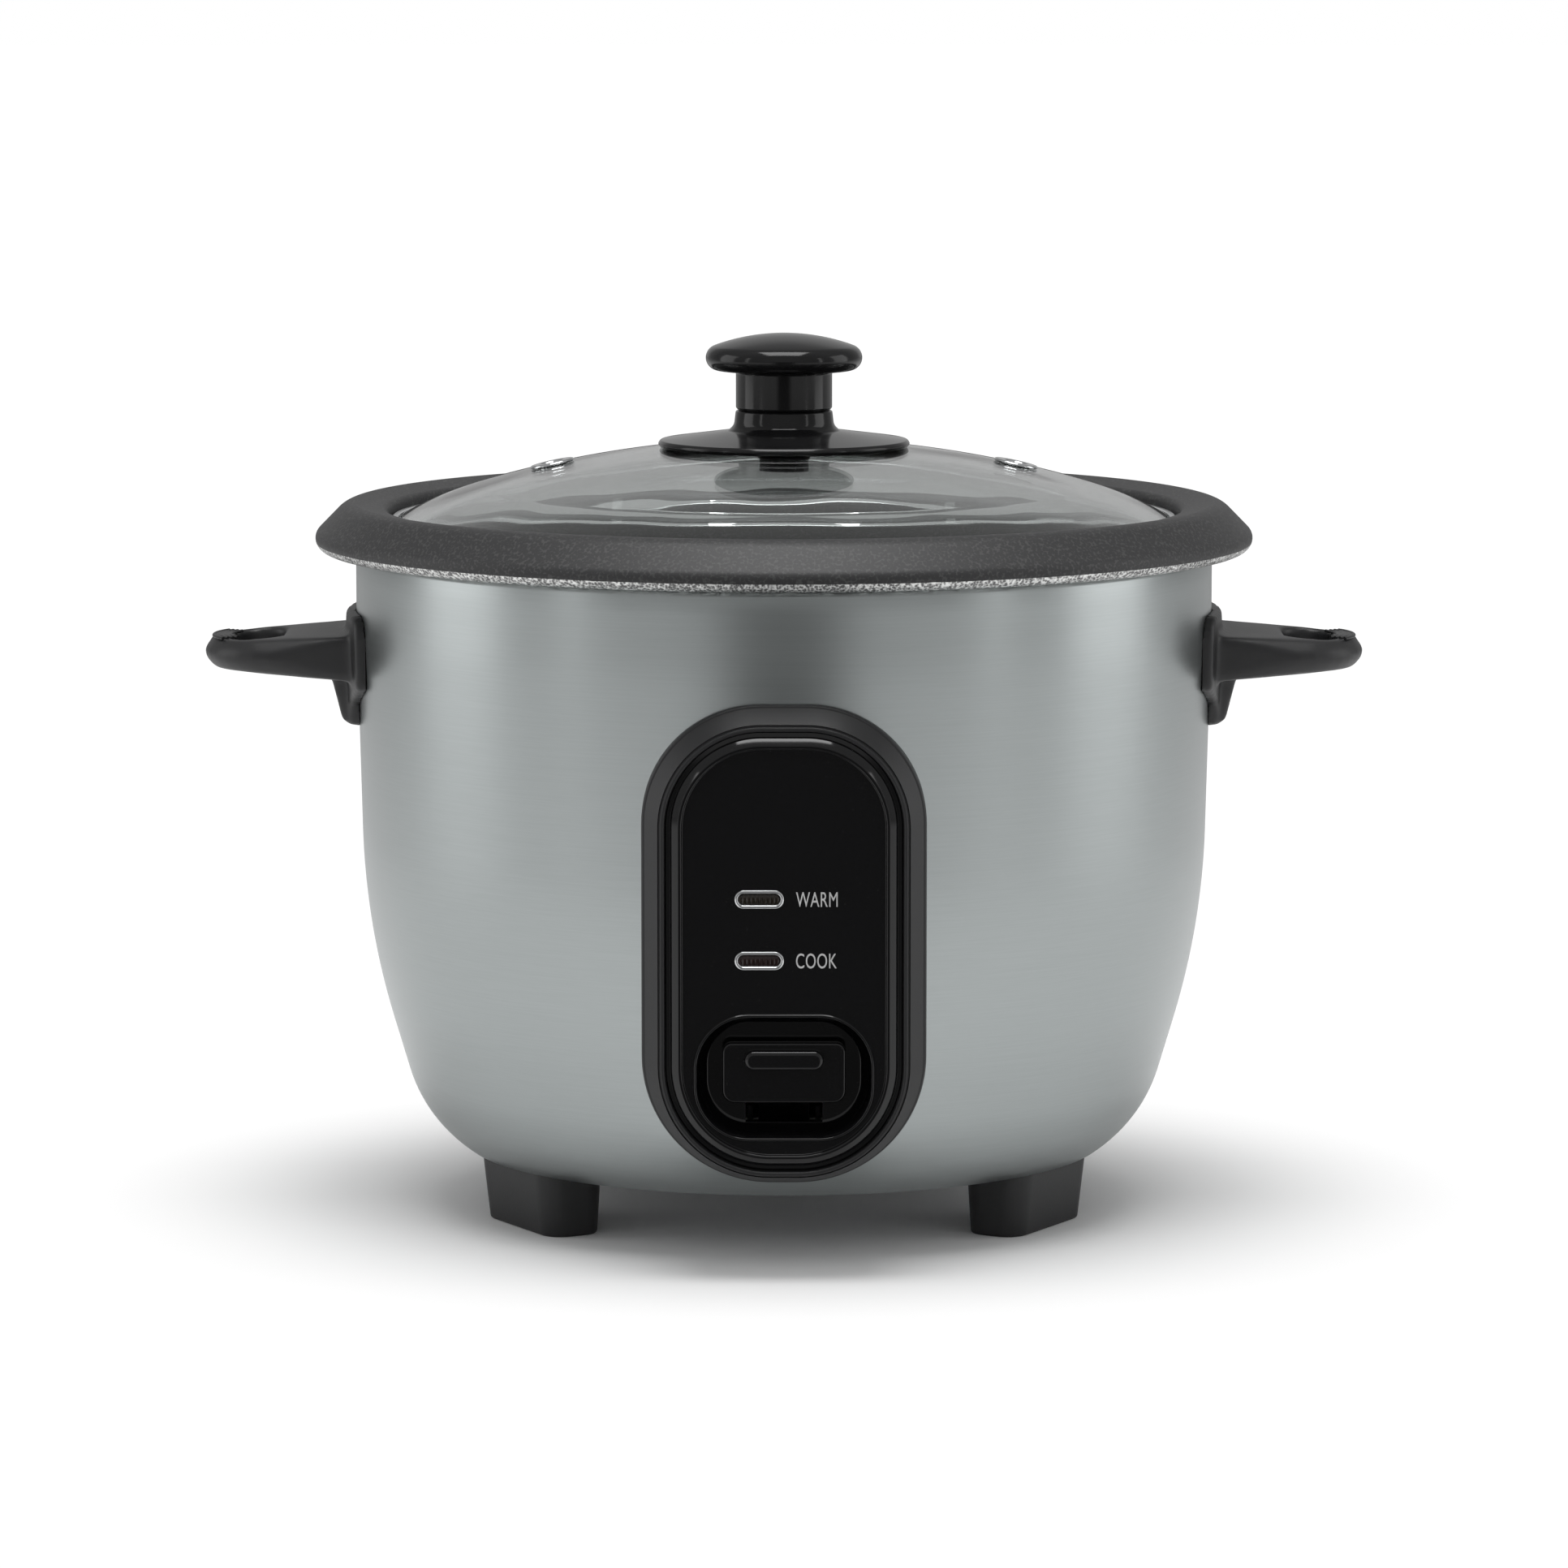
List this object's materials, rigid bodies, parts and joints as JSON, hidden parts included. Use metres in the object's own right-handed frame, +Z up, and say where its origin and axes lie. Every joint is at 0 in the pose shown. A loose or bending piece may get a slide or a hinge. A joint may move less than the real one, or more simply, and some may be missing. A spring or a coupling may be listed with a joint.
{
  "type": "rice cooker",
  "caption": "Drum rice cooker: tapered steel body on feet, lift-out non-stick pot with a rolled rim, domed glass lid with a knob, side handles and a tall front panel with a cook lever.",
  "frame": {"origin": "on the floor under the body's axis, at the centre of the footprint", "axes": "+Z up, the front panel faces -Y, the handles lie along X"},
  "size_m": [0.285, 0.2298, 0.2153],
  "materials": {
    "body_steel": "satin metallic grey lacquer",
    "plain_steel": "bright zinc plated",
    "liner_steel": "satin",
    "cast_aluminium": "cast, turned top",
    "element_sheath": "heat tinted",
    "nonstick": "textured non-stick coating over bare aluminium",
    "black_plastic": "fine spark texture",
    "gloss_black": "high gloss",
    "knob_black": "polished phenolic",
    "lens": "smoked translucent",
    "bezel": "bright",
    "neon": "clear",
    "glass": "clear tempered",
    "band_steel": "polished",
    "eyelet_chrome": "bright",
    "silicone": "matte",
    "ferrite": "dull",
    "magnet_black": "dull",
    "spring_steel": "drawn wire",
    "switch_case": "smooth",
    "switch_button": "smooth",
    "porcelain": "unglazed",
    "brass": "plain"
  },
  "bodies": {
    "root": {"outer_shell": "body_steel", "base_plate": "liner_steel", "foot_left": "black_plastic", "foot_right": "black_plastic", "foot_rear": "black_plastic", "foot_screws": "plain_steel", "inner_liner": "liner_steel", "heating_plate": "cast_aluminium", "heating_element": "element_sheath", "plate_screws": "plain_steel", "sensor_bracket": "plain_steel", "bracket_rivets": "plain_steel", "lever_bracket": "plain_steel", "lever_pin": "plain_steel", "microswitch": "switch_case", "thermal_fuse": "porcelain", "fuse_clip": "plain_steel", "terminal_block": "porcelain", "panel_frame": "black_plastic", "front_panel": "gloss_black", "switch_well": "gloss_black", "panel_screws": "plain_steel", "bezel_warm": "bezel", "bezel_cook": "bezel", "lens_warm": "lens", "lens_cook": "lens", "neon_lamps": "neon", "lamp_holder": "porcelain", "handle_left": "black_plastic", "handle_right": "black_plastic", "handle_screws": "plain_steel", "power_inlet": "black_plastic", "inlet_pins": "brass", "inlet_screws": "plain_steel"},
    "pot": {"inner_pot": "nonstick"},
    "lid": {"lid_glass": "glass", "lid_band": "band_steel", "lid_eyelets": "eyelet_chrome", "lid_washer": "silicone", "lid_screw": "plain_steel", "knob_base": "knob_black", "knob_cap": "knob_black"},
    "lever": {"lever_arm": "plain_steel", "lever_paddle": "gloss_black"},
    "sensor": {"sensor_cup": "cast_aluminium", "sensor_ferrite": "ferrite", "sensor_spring": "spring_steel"},
    "magnet": {"magnet_holder": "plain_steel", "magnet": "magnet_black", "magnet_spring": "spring_steel"},
    "plunger": {"switch_plunger": "switch_button"}
  },
  "joints": [
    {"name": "pot_lift", "type": "slide", "parent": "root", "child": "pot", "axis": [0, 0, 1], "range_m": [0, 0.13]},
    {"name": "lid_lift", "type": "slide", "parent": "pot", "child": "lid", "axis": [0, 0, 1], "range_m": [0, 0.08]},
    {"name": "cook_lever", "type": "hinge", "parent": "root", "child": "lever", "pos_m": [0, -0.05, 0.029], "axis": [1, 0, 0], "range_deg": [0, 6], "stiffness_Nm_per_rad": 0.15, "springref_deg": -6.88},
    {"name": "sensor_press", "type": "slide", "parent": "root", "child": "sensor", "axis": [0, 0, 1], "range_m": [-0.0015, 0], "stiffness_N_per_m": 400, "springref_m": 0.003, "deforming": ["sensor_spring"]},
    {"name": "magnet_lift", "type": "slide", "parent": "sensor", "child": "magnet", "axis": [0, 0, 1], "range_m": [0, 0.0053], "deforming": ["magnet_spring"]},
    {"name": "plunger_press", "type": "slide", "parent": "root", "child": "plunger", "axis": [0, 0, -1], "range_m": [0, 0.0012]}
  ],
  "couplings": [
    {"joint": "magnet_lift", "follows": "cook_lever", "m_per_rad": 0.05},
    {"joint": "plunger_press", "follows": "cook_lever", "m_per_rad": 0.011}
  ]
}
